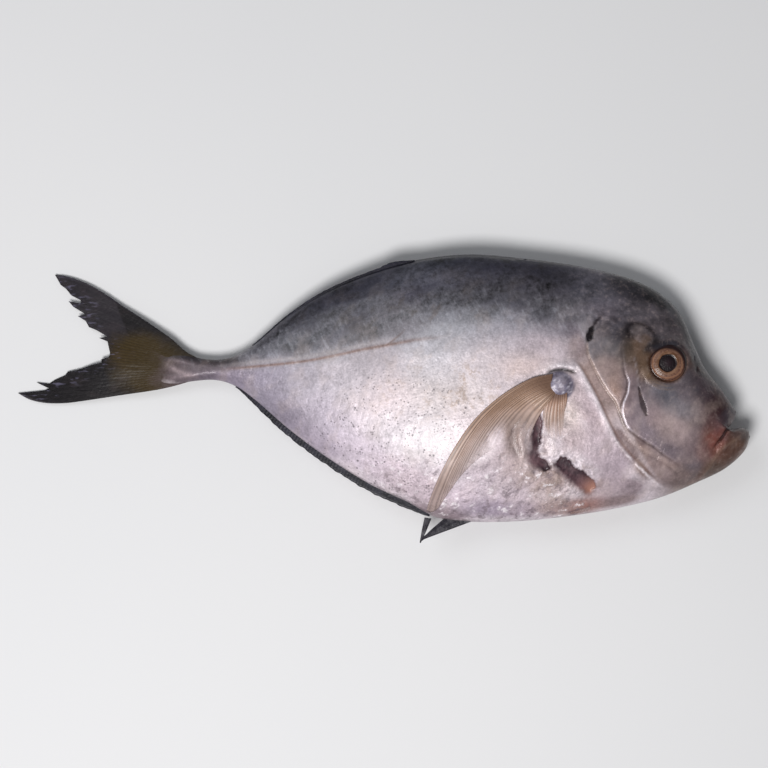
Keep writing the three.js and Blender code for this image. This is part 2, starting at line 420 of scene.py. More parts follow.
ripple = crumple(5)
fray = crumple(1.4, 3)
relief += 0.3 * crumple(17, 2) + 0.08 * ripple


def lay(mask, colour):
    """Lays a colour, or a colour for each point, over the skin as thickly as mask says."""
    under = tone[:, 3] * (1 - mask)
    total = np.maximum(mask + under, 1e-6)
    tone[:, :3] = (mask[:, None] * colour + tone[:, :3] * under[:, None]) / total[:, None]
    tone[:, 3] = mask + under


def dye(mask, code):
    lay(mask, ink(code))


def blush(region, cover, *patches):
    """Soft patches that melt into one another: place, length, width, turn and colour.

    Their colour fades out between them, unless cover is high.
    """
    masks = np.array([spot(flat, *patch[:5]) for patch in patches]) + 1e-30
    total = masks.sum(axis=0)
    colours = np.array([ink(patch[5]) for patch in patches])
    lay(np.minimum(total * cover, 1) * region, masks.T @ colours / total[:, None])


def crest(off, width):
    """A soft line where off is 0."""
    return np.exp(-((off / width) ** 2))


def draw(off, *lines):
    """Fine lines along the one that off counts from: shift, half-width, strength and colour."""
    for shift, width, strength, code in lines:
        dye(crest(off + shift, width) * strength, code)


WHOLE_FISH = 200  # a reach that takes in every point
before_neck = beside(NECK, flat, WHOLE_FISH)[0]
neck_blur = 1.5 + 7 * rise(up, 22, 32) + 9 * rise(up, -29, -37)
head = rise(before_neck / neck_blur, -1, 1)
blush(
    1 - head, 1.4,
    # the stalk and the flesh over the tail's root
    (-90, 10, 5, 8, 0, "#3c3022"), (-83, 12, 5, 4, 0, "#55474b"), (-76, 9, 6, 3.5, 0, "#665a5f"),
    (-70, 15.5, 8, 2.2, 0, "#363035"), (-60, 14.5, 7, 2, 0, "#433f44"),
    (-66, 12, 9, 1.6, 0, "#665b60"), (-67, 8.6, 8, 2.4, 0, "#726773"),
    (-56, 7, 8, 4, 0, "#8d8393"), (-82, 17, 8, 1.8, 0, "#26222a"),
    # the back, slate and brown, from the stalk to the nape
    (-44, 20, 7, 3, 35, "#424149"), (-36, 27, 7, 3, 35, "#2c2d38"), (-32, 22, 8, 4, 30, "#56565d"),
    (-28, 32, 6, 3, 38, "#2b2c37"), (-20, 26, 8, 4, 25, "#5f5e65"), (-24, 34, 7, 3, 33, "#393843"),
    (-14, 38.5, 7, 3, 28, "#33323e"), (-12, 31, 8, 4, 22, "#55535c"),
    (-8, 24, 8, 3, 15, "#6b696f"), (-3, 43, 8, 3, 24, "#44444f"), (-2, 37, 7, 3, 20, "#636269"),
    (0, 30, 8, 3, 15, "#6f6c72"), (9, 46, 8, 3, 15, "#5a5c68"), (8, 39, 8, 3, 12, "#5f5b65"),
    (8, 32.5, 7, 3, 10, "#747177"), (10, 26.5, 8, 3, 8, "#837f86"), (18, 51, 9, 2, 8, "#434651"),
    (20, 45, 9, 3, 5, "#62626f"), (20, 38, 8, 3, 5, "#5a5a63"), (22, 31.5, 8, 3, 0, "#85858d"),
    (24, 26, 8, 2.5, 0, "#aaaab2"), (32, 51, 9, 2.5, 0, "#383944"), (32, 45, 9, 3, 0, "#4f4d57"),
    (34, 38.5, 8, 3, 0, "#56555c"), (36, 31.5, 8, 3, 0, "#85858c"), (38, 26, 8, 2.5, 0, "#a3a2ac"),
    (46, 50, 8, 3, -5, "#383743"), (48, 43.5, 8, 3, -3, "#434149"), (48, 37, 8, 3, 0, "#4f4e55"),
    (50, 31, 7, 3, 0, "#777680"), (51, 26.5, 7, 2.5, 0, "#9a97a1"), (60, 48, 7, 3, -8, "#292730"),
    (60, 42, 7, 3, -8, "#46424a"), (61, 36, 7, 3, -5, "#48454b"), (61, 30.5, 6, 3, 0, "#615f68"),
    (62, 25.5, 5, 2.5, 0, "#87838d"), (71, 45, 6, 3, -10, "#201e25"),
    (72, 38, 6, 3, -8, "#4a474d"), (71, 31.5, 5, 3, 0, "#575359"), (70, 26, 4, 2.5, 0, "#7a737d"),
    # the rear of the flank, lilac to blue
    (-44, 4, 9, 8, 30, "#9a92a2"), (-36, -6, 9, 5, -40, "#8c8392"), (-30, 6, 10, 7, 0, "#aca5af"),
    (-22, -6, 9, 7, -35, "#c0b6c3"), (-24, -16, 9, 4, -40, "#ab9fae"),
    (-12, 6, 10, 7, 0, "#cac2ca"), (-8, -20, 10, 6, -35, "#d2c5d2"), (-2, 14, 9, 6, 5, "#b2aab1"),
    (2, 1, 10, 7, 0, "#dccdd1"),
    # the pale middle, lightened further by a painted highlight where the wet flank faces the lamp
    (6, -10, 12, 8, 0, "#cfc6cd"), (18, -14, 13, 9, 0, "#cfc8cc"), (20, 2, 11, 8, 0, "#cdc3c4"),
    (20, 12, 10, 6, 0, "#d3ced5"), (24, 21, 12, 5, 6, "#b7b5bd"), (36, 14, 9, 6, 0, "#d6cbd0"),
    (44, 22, 12, 5, 0, "#c2bac3"), (52, 13, 8, 5, 0, "#d2c0c0"), (58, 21, 8, 5, 0, "#c3b5bd"),
    (33, 0, 9, 7, 0, "#d6cbce"), (30, -12, 6, 7, 0, "#d0c1c6"),
    # the belly, its darker patches along the lower edge painted shade where it turns away
    (6, -29, 12, 5, -28, "#d8c7d1"), (17, -34, 8, 5, -25, "#ccbbc4"),
    (22, -43, 10, 3, -15, "#8f7d84"), (38, -22, 7, 6, 0, "#b9aab1"), (38, -31, 9, 5, 0, "#cbbdc7"),
    (30, -38, 8, 4, 0, "#cfbfcb"), (40, -41, 10, 3, 0, "#9d8fa2"), (50, -35, 8, 4, 0, "#d0c0ca"),
    (52, -42, 9, 2.5, 0, "#b8a8b5"), (49, -24, 5, 6, 0, "#b7a5a7"), (61, -36, 6, 3, 0, "#d8c7c9"),
    (66, -41, 8, 3, 0, "#9f8886"), (56, -31, 6, 3, -20, "#b3a09f"), (49, -11, 4, 8, 10, "#a28a80"),
    # the chest, from the fin to the gill opening
    (65, 17, 4, 3, 0, "#cfc2c9"), (73, 19, 4, 5, 0, "#96868a"), (72, 3, 3, 7, 20, "#c9b8bd"),
    (69, -6, 4, 5, 10, "#d9c9c6"), (78, -6, 3, 8, 25, "#b9a7ae"), (71, -14, 5, 5, 0, "#baa9ad"),
    (80, -18, 6, 6, 0, "#bfafb7"), (87, -24, 6, 6, -30, "#b2a2ac"), (84, -33, 6, 4, 0, "#b5a4ab"),
    (94, -33, 5, 3, 0, "#9a8a91"), (77, -40, 7, 3, 8, "#a08585"), (89, -14, 2, 4, 35, "#7b6869"),
    (93.5, -19.5, 2.5, 4, 40, "#7c6968"), (98, -26.5, 2.5, 4, 45, "#84726f"),
    (90, -38.5, 7, 2, 10, "#8c7a7d"), (64, -29, 6, 3, -35, "#a48f8c"),
)
blush(
    head, 1e30,
    # the crown and the forehead
    (80, 41, 8, 4, -8, "#625f69"), (92, 41, 7, 3.5, -12, "#2a272e"),
    (84, 33, 6, 4, -15, "#68616a"), (94, 33, 6, 3.5, -25, "#625c63"),
    (104, 39, 6, 3, -35, "#161419"), (102, 31, 5, 3, -35, "#565056"),
    (109, 27, 3, 5, 30, "#50494d"), (116, 26, 2, 7, 30, "#19161a"),
    (102, 27, 5, 2.5, -20, "#5c5458"), (112, 18, 2.5, 6, 28, "#4d3b35"),
    (118.5, 16, 2, 7, 28, "#1c1416"), (86, 27, 5, 3, 0, "#4f4a50"),
    # round the eye and behind it
    (92, 26, 3, 2.5, 0, "#332e30"), (88, 22.5, 2.5, 2.5, 0, "#3a363c"),
    (79, 21, 3, 5, 0, "#857d81"), (85, 19, 4, 3, 0, "#746d6e"), (91, 17, 3, 5, 0, "#52443a"),
    (97, 17, 3, 5, 0, "#6c5647"), (99, 10, 3, 4, 0, "#604a3a"), (83, 12, 4, 4, -20, "#ab948f"),
    (87, 5, 3, 6, -15, "#ab8f85"), (91, 4, 2.5, 7, 0, "#87757a"), (87, -5, 2, 5, 0, "#95817f"),
    (96, 1, 3, 5, 0, "#948286"), (104, 1, 6, 4, -10, "#63626c"), (113, 5, 3.5, 5, 0, "#6c6268"),
    (118, 5, 2.5, 5, 28, "#443b41"),
    # the cheek
    (111, -4, 6, 3, -20, "#867f85"), (101, -4, 3, 5, 0, "#a59093"), (107, -8, 4, 4, 0, "#ab9898"),
    (112, -12, 4, 4, 0, "#b09c9d"), (118, -7, 3, 6, 0, "#7f7072"), (116, -16, 3, 4, 0, "#7c6c70"),
    (95, -8, 3, 4, 0, "#9c8b92"), (93, -11, 2, 2, 0, "#7e6f74"),
    (100, -14, 5, 2.5, -30, "#897b84"), (108, -19, 5, 2.5, -38, "#7d7078"),
    (116, -24, 4, 2.5, -38, "#7a6b6f"), (107, -14, 3, 2, -30, "#948385"),
    # the snout and the jaws
    (121.5, 3, 2.5, 4, 32, "#52434a"), (124.5, -3, 2.5, 3.5, 30, "#40292d"),
    (128, -2, 2.5, 5, 30, "#331d22"), (122, -8, 2.5, 4, 20, "#594344"),
    (131, -7, 2.5, 3, 20, "#311519"), (124.4, -15.4, 4, 5, 20, "#7a483f"),
    (120.5, -19, 2.5, 4, 20, "#7b6261"), (134, -15, 3, 2.5, 0, "#5c4339"),
    (130, -20, 4, 3, 40, "#5a4138"), (125, -26, 4, 3, 40, "#5a473f"),
    (137.6, -14, 2, 2, 0, "#564438"), (119, -29, 3, 2, 30, "#6e5954"),
    # the soft folds below the gill cover
    (90, -15, 3, 3, -40, "#8f7974"), (96, -19, 4, 3, -45, "#87716e"),
    (102, -22.5, 4, 2.5, -40, "#9d8785"), (106, -26, 4, 3, -40, "#a99391"),
    (112, -27.5, 3, 3, -40, "#85706b"), (104, -32, 4, 3, 0, "#8d7876"),
    (97, -34, 4, 3, 0, "#94838a"), (113, -32, 4, 3, 30, "#735e58"),
)

# The gill opening: behind the head's last plate lies a sunken brown membrane, and behind that
# the shoulder girdle's raised edge, with a pale painted highlight along it and a line of
# painted shade where it drops into the opening.
before_girdle, girdle_share = beside(GIRDLE_EDGE, flat)
before_cover, cover_share = beside(COVER_EDGE, flat)
girdle_ends = ends(girdle_share, 0.1, 0.8)
cover_ends = ends(cover_share, 0.1, 0.9)
gill = rise(before_girdle, -0.2, 1) * rise(before_cover, 0.1, -0.4)
gill *= rise(before_girdle, 14, 9) * girdle_ends * rise(cover_share, 1, 0.8)
relief -= 0.3 * gill + 0.1 * gill * ripple
dye(gill * 0.8 * rise(girdle_share, 0.6, 0.3), "#8a6f66")
silver -= 0.6 * gill
uneven = np.clip(0.7 + 0.9 * ripple, 0.15, 1.3)
ledge = rise(before_girdle, 0.4, -0.5) * rise(before_girdle, -3, -0.6)
relief += 0.16 * ledge * girdle_ends * uneven
# Painted highlight on the ledge's edge, painted shade at its foot.
draw(
    before_girdle,
    (0.5 + 0.3 * fray, 0.4, girdle_ends * np.minimum(uneven, 1) * 0.85, "#efe4ea"),
    (-0.7, 0.55, girdle_ends * 0.65, "#6b4e45"),
)
# The gill cover's rim stands proud: a tan line on it, and painted shade just outside it.
relief += 0.22 * rise(before_cover, -0.4, 0.4) * rise(before_cover, 9, 2) * cover_ends
draw(
    before_cover,
    (0, 0.35, cover_ends * 0.55, "#9a7c64"), (0.6, 0.4, cover_ends * 0.5, "#5e4740"),
)
before_fold, fold_share = beside(MEMBRANE_EDGE, flat)
fold_ends = ends(fold_share, 0.15, 0.8)
relief += 0.2 * rise(before_fold, -0.5, 0.5) * rise(before_fold, 5, 1) * fold_ends * uneven
# A painted highlight along the fold's raised edge, painted shade at its foot.
draw(
    before_fold, (0.5, 0.5, fold_ends * 0.45, "#6a5450"), (-0.5, 0.5, fold_ends * 0.4, "#bba39c")
)

# The cheek's plate overlaps the gill cover, with a painted highlight along its edge and a thin
# painted shadow in the groove beside it.
before_cheek, cheek_share = beside(CHEEK_EDGE, flat)
cheek_ends = ends(cheek_share, 0.28, 0.7)
relief += 0.22 * rise(before_cheek, -0.3, 0.3) * rise(before_cheek, 10, 2) * cheek_ends
relief -= 0.15 * crest(before_cheek + 0.6, 0.4) * cheek_ends
highlight_rim = rise(cheek_share, 0.2, 0.28) * rise(cheek_share, 0.62, 0.45)
# Painted shadow in the groove, and a painted highlight on the plate's edge.
draw(
    before_cheek,
    (0.7, 0.45, cheek_ends * 0.75, "#4a3837"),
    (-0.1, 0.2, cheek_ends * (0.1 + 0.9 * highlight_rim), "#e9e0ea"),
)

# A narrow slit in the plate, its hollow darkened with painted shade, drawn up into a fine crease.
off_slit, slit_share = beside(CHEEK_SLIT, flat)
slit_width = 0.35 + 0.7 * np.sin(np.pi * np.clip(slit_share, 0, 0.96) ** 1.6)
slit = rise(np.abs(off_slit), slit_width + 0.25, slit_width - 0.2)
relief -= 0.25 * slit
# Painted shade in the slit's hollow.
dye(slit, "#3a2624")
silver -= 0.8 * slit
off_crease, crease_share = beside(CHEEK_CREASE, flat)
crease = rise(crease_share, 0, 0.3)
# The crease has no relief: a pale painted highlight along it and painted shade beside it.
draw(off_crease, (0, 0.3, crease * 0.6, "#a2969a"), (-0.7, 0.4, crease * 0.4, "#40342f"))

# The black mark at the top of the gill opening, in a knot of small folds.
mark = rise(spot(flat, 77.7, 24.6, 3.2, 1.35, 70) + 0.12 * ripple, 0.25, 0.45)
mark_tail = rise(spot(flat, 80.2, 29.4, 3, 0.8, 48) + 0.2 * fray, 0.35, 0.6)
wrinkles = np.sin(ahead * 0.9 + up * 2.1 + 2.4 * ripple)
relief += 0.3 * spot(flat, 83, 31, 9, 4, -28) * wrinkles
dye(rise(ripple, 0, 0.5) * spot(flat, 84, 31.5, 8, 4.5, -28) * 0.55, "#2b2329")
dye(rise(-ripple, 0.05, 0.4) * spot(flat, 82, 29, 7, 4, -28) * 0.45, "#94898d")
dye(mark_tail * 0.8, "#241b20")
dye(mark, "#120b10")
relief -= 0.5 * mark
silver -= mark

# The eye's socket, with a heavy overhang above it darkened by painted shadow, and the glossy
# bulge behind that overhang.
from_eye = flat - EYE
eye_range = np.hypot(*from_eye.T)
eye_turn = np.degrees(np.arctan2(from_eye[:, 1], from_eye[:, 0]))
upper = rise(eye_turn, 0, 50) * rise(eye_turn, 175, 120)
relief += (0.45 + 0.75 * upper) * crest(eye_range - 9 + 0.4 * upper, 1.8)
relief -= 3.2 * rise(eye_range, 7.4 - 0.9 * upper, 6.4 - 0.9 * upper)
folds = crest(eye_range - 8.6, 0.3) + crest(eye_range - 9.9, 0.3)
folds *= rise(eye_turn, -175, -150) * rise(eye_turn, -60, -100)
relief += 0.15 * folds
dye(rise(eye_range, 11, 8) * rise(np.abs(eye_turn + 150), 70, 20) * 0.5, "#6b5442")
# A pale painted highlight along the small folds below the eye.
dye(folds * 0.35, "#9a8068")
dye(rise(eye_range, 8.4, 6.9) * 0.85, "#634738")
# A crescent of painted shadow over the top of the eye, under its overhang.
brow_shadow = rise(eye_range, 9.4, 8.2) * upper * rise(eye_turn, 20, 60)
brow_shadow += crest(eye_range - 9.6, 1.1) * rise(np.abs(eye_turn - 132), 34, 12)
dye(np.minimum(brow_shadow, 1), "#150b0f")
bump = spot(flat, 97, 24.1, 4.9, 3, -32)
relief += 0.5 * rise(bump, 0.2, 0.8)
dye(rise(bump, 0.3, 0.5) * (0.5 + 0.6 * ripple).clip(0, 1), "#6c6366")
# Painted shade along the bulge's upper edge.
dye(crest(bump - 0.24, 0.12) * rise(up, 21.5, 24) * 0.9, "#1d1519")
# Two nostril pits, darkened inside with painted shade.
for x, y in [(117.4, 15.4), (118.3, 11.2)]:
    nostril = rise(spot(flat, x, y, 0.7, 1.2, -12), 0.3, 0.8)
    relief -= 0.5 * nostril
    dye(nostril * 0.8, "#1d1214")

# The mouth: a cleft down from the notch, the upper jaw's bone behind it, the lower jaw's thin
# crescent and, between them, the red corner.
off_cleft, cleft_share = beside(CLEFT, flat)
cleft = crest(off_cleft, 0.5) * rise(cleft_share, 1, 0.35)
relief -= 1.2 * cleft
# Painted shade in the cleft's hollow.
dye(cleft * 0.85, "#1c0c0d")
relief += 0.4 * crest(off_cleft - 2.1, 1.5) * rise(cleft_share, 0.9, 0.5)
off_upper, upper_share = beside(UPPER_JAW, flat)
upper_ends = ends(upper_share, 0.2, 0.8)
relief += 0.2 * rise(off_upper, -1, 1) * rise(off_upper, 5, 2) * upper_ends
# A faint painted highlight along the upper jaw bone's raised edge.
dye(crest(off_upper - 0.2, 0.7) * upper_ends * 0.15, "#a08e86")
off_jaw, jaw_share = beside(JAW_LINE, flat)
relief += 0.3 * crest(off_jaw, 1.1)
relief -= 0.25 * crest(off_jaw + 1.9, 1.3) * rise(jaw_share, 0.05, 0.2)
# A faint painted highlight along the lower jaw's ridge.
dye(crest(off_jaw, 0.6) * 0.25 * ends(jaw_share, 0.1, 0.8), "#a08878")
relief -= 0.4 * spot(flat, 124.5, -15.5, 3, 4)

# The silver knob at the fin's root, with painted glints on it, in a hood of skin with a painted
# highlight along it and a gap under it darkened by painted shadow.
off_hood, hood_share = beside(KNOB_HOOD, flat)
hood_ends = ends(hood_share, 0.2, 0.8)
knob = spot(flat, *KNOB, 5.4, 5.2)
relief += 1.9 * rise(knob, 0.28, 0.9)
dye(rise(knob, 0.26, 0.42) * 0.95, "#6a6478")
dye(rise(knob + 0.9 * ripple, 0.6, 1.0) * rise(knob, 0.3, 0.5) * 0.7, "#938ea2")
# Painted glints and dark painted reflections speckle the silver knob.
dye(rise(fray, 0.3, 0.5) * rise(knob, 0.35, 0.6) * 0.7, "#dcd8e6")
dye(rise(-fray, 0.25, 0.5) * rise(knob, 0.3, 0.6) * 0.6, "#47434f")
relief -= 0.5 * crest(off_hood, 0.7) * hood_ends
relief += 0.25 * crest(off_hood - 1.6, 1) * hood_ends * uneven
# Painted shadow in the gap under the hood.
dye(crest(off_hood, 0.75 + 0.25 * ripple) * hood_ends, "#1a1218")
silver -= crest(off_hood, 1) * hood_ends
# A painted highlight along the hood's raised edge.
dye(crest(off_hood - 1.5, 0.6) * hood_ends * rise(fray, -0.4, 0.3) * 0.8, "#f0e8ee")

# Skin torn open under the fin: ragged pale rims round dark sunken flesh.
TEAR_REACH = 8.0
tear = np.full(len(flat), -TEAR_REACH)
for outline in (ARMPIT_TEAR, CHEST_TEAR):
    away = beside(outline, flat, TEAR_REACH)[0]
    tear = np.where(np.abs(away) < TEAR_REACH, np.maximum(tear, -away), tear)
tear = np.where(right, tear, -TEAR_REACH)
# Their lower and left sides have no sharp edge: the flesh thins out into the skin.
lower_side = rise(ahead * 0.72 + up, 24.4, 20) * rise(ahead, 62, 65)
armpit_side = rise(ahead + 0.25 * up, 54.2, 51.8) * (ahead < 62)
lower_side = np.maximum(lower_side, armpit_side)
lower_side = np.maximum(lower_side, spot(flat, 80, -36.5, 4, 2.5, 30))
hole = rise(tear + 0.55 * fray, -0.2 - 2.2 * lower_side, 0.7 + 1.9 * lower_side)
relief -= 1.3 * hole * (1 - 0.5 * lower_side)
relief += 0.2 * crest(tear + 0.9, 0.7) * (0.6 + 0.6 * fray) * (1 - lower_side)
around_tear = rise(tear, -5, -0.5) * (1 - hole)
relief += 0.2 * around_tear * ripple
dye(around_tear * rise(fray, 0, 0.4) * 0.3, "#dccdcd")
dye(around_tear * rise(ripple, 0.05, 0.5) * 0.5, "#8f7a76")
dye(rise(tear, -2.5, 1) * lower_side * 0.6, "#947c7a")
silver -= 0.85 * hole
redness = hole * spot(flat, 78.8, -34, 4.6, 3.6, 40)
crinkled = spot(flat, 60, -33, 12, 7, -15) * right * (1 - hole)
relief += 0.3 * crinkled * ripple
dye(crinkled * rise(ripple, 0, 0.5) * 0.5, "#9b8478")
# A raised tongue of skin between the tears: a painted highlight on its crest, painted shade to one
# side.
tongue = curve([(66.5, -3), (64.3, -9), (63.6, -16), (63.9, -22.4)])
off_tongue, tongue_share = beside(tongue, flat)
tongue_ends = ends(tongue_share, 0.3, 0.9) * right
relief += 0.3 * crest(off_tongue, 1.6) * tongue_ends
draw(
    off_tongue,
    (-0.2, 1.1, tongue_ends * 0.4, "#d9cbca"), (2.6, 1.6, tongue_ends * 0.5, "#a5908f"),
)

# A fold beside the armpit tear: painted shade in its groove, a painted highlight on the ridge
# beside it.
fold = curve([(51, -6.2), (49.4, -9), (48.8, -13), (49, -17.5), (50.8, -20.2), (53.4, -21.2)])
off_shaded_fold, fold_share = beside(fold, flat)
fold_ends = ends(fold_share, 0.3, 0.75) * right
relief += fold_ends * (0.2 * crest(off_shaded_fold - 3, 1.4) - 0.5 * crest(off_shaded_fold, 1.5))
draw(off_shaded_fold, (0, 1.9, fold_ends * 0.85, "#665657"), (-3, 1, fold_ends * 0.5, "#a8969a"))

# The lateral line: a row of small ridged scales, strongest towards the tail.
off_lateral, lateral_share = beside(LATERAL, flat)
lateral_ends = rise(lateral_share, 0.16, 0.3) * rise(lateral_share, 1, 0.75)
relief += 0.09 * crest(off_lateral, 0.7) * lateral_ends
draw(
    off_lateral,
    (-1.4, 0.9, lateral_ends * rise(lateral_share, 0.9, 0.6) * 0.4, "#b8aeae"),
    (0.2, 0.5 + 0.3 * lateral_share, lateral_ends * 0.8, "#7d6155"),
)
off_branch, branch_share = beside(LATERAL_FORK, flat)
dye(crest(off_branch, 0.45) * rise(branch_share, 1, 0.3) * 0.7, "#6f5a52")

# The flesh on the tail's root: two faint ridges that spread with the fin's rays, each with a
# painted highlight along it, and a painted highlight streak between them.
for ridge in ([(-70, 13), (-78, 14.6), (-86, 16)], [(-70, 9.4), (-78, 8.6), (-87, 8)]):
    off_ridge, ridge_share = beside(curve(ridge), flat)
    strength = crest(off_ridge, 0.9) * ends(ridge_share, 0.3, 0.4)
    relief += 0.25 * strength
    dye(strength * 0.4, "#94848a")

# A streak of painted highlight on the flesh between the ridges.
off_highlight_streak, streak_share = beside(curve([(-83, 13), (-77.5, 10.2), (-71, 8.4)]), flat)
dye(crest(off_highlight_streak, 1) * ends(streak_share, 0.3, 0.7) * 0.6, "#b09ea2")

# Reddish bruises along the belly, where the small pelvic fins join it.
dye(spot(flat, 77, -40, 5, 2.2, 10) * 0.5, "#a06a5c")
dye(rise(spot(flat, 72, -43, 2.4, 1), 0.3, 0.7) * 0.6, "#6e3b38")
for x, y, size in [(44.7, -21.2, 0.9), (42.5, -26.1, 0.45)]:
    dye(rise(spot(flat, x, y, size * 1.3, size), 0.2, 0.7) * 0.6 * right, "#75605f")

# The bed that the left fin presses into the lower flank.
from_bed = beside(curve([(64, 6), (50, -5), (36, -14), (26, -28), (18.5, -41)]), flat)[0]
bed = rise(from_bed**2, 90, 40) * rise(points[:, 2], 2.5, 0.5)
points[:, 2] += np.where(right, 0, 1.1 * bed)

edge_fade = rise(across, 0, 0.03) * rise(across, 1, 0.97)
points[:, 2] += side * relief * edge_fade
points[:, 2] = np.maximum(points[:, 2], CLEARANCE)
body.data.vertices.foreach_set("co", points.ravel())
# How far each point is above the line where the pale flank turns to the dark back.
dusk = beside(SHADE_LINE, flat, WHOLE_FISH)[0]
# Where the crumpled belly and chest get painted glints and painted shade in the skin's finish.
foil = rise(up, -14, -30) * rise(ahead, -30, 10) * (1 - head) * (1 - hole) * rise(ahead, 84, 72)
foil = np.maximum(foil, 0.6 * spot(flat, 62, -10, 12, 22) * right * (1 - hole))
store(
    body.data, tone=tone, silver=np.clip(silver, 0, 1), head=head, hole=hole, redness=redness,
    dusk=dusk, root=tail_root(flat), mottle=spot(flat, 8, 34, 40, 10, 10),
    foil=foil * (0.8 + 0.5 * ripple).clip(0, 1), beige=spot(flat, 25, 4, 24, 11, 6),
    pepper=spot(flat, 5, -14, 36, 24, 5) * rise(dusk, -2, -12),
)


class Wire:
    """An output of a material's nodes that can be added, scaled and compared like a number."""

    def __init__(self, tree, socket=None):
        self.tree = tree
        self.socket = socket

    def node(self, kind, settings=None, inputs=None, output=0):
        """The output of a new node. A ramp's settings are its stops: place and colour.

        A colour is a wire or a screen code.
        """
        node = self.tree.nodes.new("ShaderNode" + kind)
        for word, value in (settings or {}).items():
            if word == "stops":
                stops = node.color_ramp.elements
                while len(stops) < len(value):
                    stops.new(0.5)
                for stop, (place, code) in zip(stops, value):
                    stop.position = place
                    stop.color = rgba(code)
            else:
                setattr(node, word, value)
        for word, value in (inputs or {}).items():
            if isinstance(value, Wire):
                self.tree.links.new(value.socket, node.inputs[word])
            else:
                node.inputs[word].default_value = rgba(value) if isinstance(value, str) else value
        return Wire(self.tree, node.outputs[output])

    def math(self, operation, *values):
        return self.node("Math", {"operation": operation}, dict(enumerate(values)))

    def __add__(self, other):
        return self.math("ADD", self, other)

    def __sub__(self, other):
        return self.math("SUBTRACT", self, other)

    def __rsub__(self, other):
        return self.math("SUBTRACT", other, self)

    def __mul__(self, other):
        return self.math("MULTIPLY", self, other)

    __radd__ = __add__
    __rmul__ = __mul__

    def step(self, start, end):
        """0 up to start, 1 from end on, and a smooth step between."""
        settings = {"interpolation_type": "SMOOTHSTEP"}
        return self.node("MapRange", settings, {0: self, 1: start, 2: end})

    def comb(self):
        """1 at each whole number and 0 half way between two."""
        half = self.math("FRACT", self) - 0.5
        return half.math("ABSOLUTE", half) * 2

    def mix(self, a, b):
        """Colour a where this is 0, and b where it is 1."""
        return self.node("Mix", {"data_type": "RGBA"}, {0: self, 6: a, 7: b}, output=2)

    def scaled(self, factor):
        """This colour made darker or lighter."""
        return self.node("VectorMath", {"operation": "SCALE"}, {0: self, 3: factor})


def rgba(code):
    return (*ink(code), 1)


class Finish:
    """A new material, with a few shorthands for reading the surface."""

    def __init__(self, name, **constants):
        self.material = bpy.data.materials.new(name)
        self.material.use_nodes = True
        self.tree = self.material.node_tree
        self.shader = self.tree.nodes["Principled BSDF"]
        for word, value in constants.items():
            self.shader.inputs[word.replace("_", " ")].default_value = value
        self.wire = Wire(self.tree)
        self.place = self.wire.node("TexCoord", output="Object")

    def attribute(self, word, output="Fac"):
        return self.wire.node("Attribute", {"attribute_name": word}, output=output)

    def noise(self, scale, stretch=(1, 1, 1), turn=0, detail=3.0, roughness=0.5):
        """Noise in grains of a metre over scale, drawn out and turned in the fish's plane."""
        lean = {"Vector": self.place, "Rotation": (0, 0, np.radians(turn))}
        lean = self.wire.node("Mapping", None, lean)
        vector = self.wire.node("Mapping", None, {"Vector": lean, "Scale": stretch})
        inputs = {"Vector": vector, "Scale": scale, "Detail": detail, "Roughness": roughness}
        return self.wire.node("TexNoise", None, inputs)

    def drive(self, **wires):
        """Feeds the shader's sockets."""
        for word, wire in wires.items():
            self.tree.links.new(wire.socket, self.shader.inputs[word.replace("_", " ")])

    def root_blend(self):
        """The tail's root attribute with an uneven border, alike on the flesh and on the fin."""
        uneven = self.noise(190, stretch=(0.6, 1, 1), detail=4, roughness=0.6)
        return (self.attribute("root") + (uneven - 0.5) * 1.3).step(0, 1)

    def bump(self, height, distance, normal=None):
        inputs = {"Height": height, "Distance": distance, "Strength": 1.0}
        if normal:
            inputs["Normal"] = normal
        return self.wire.node("Bump", None, inputs)


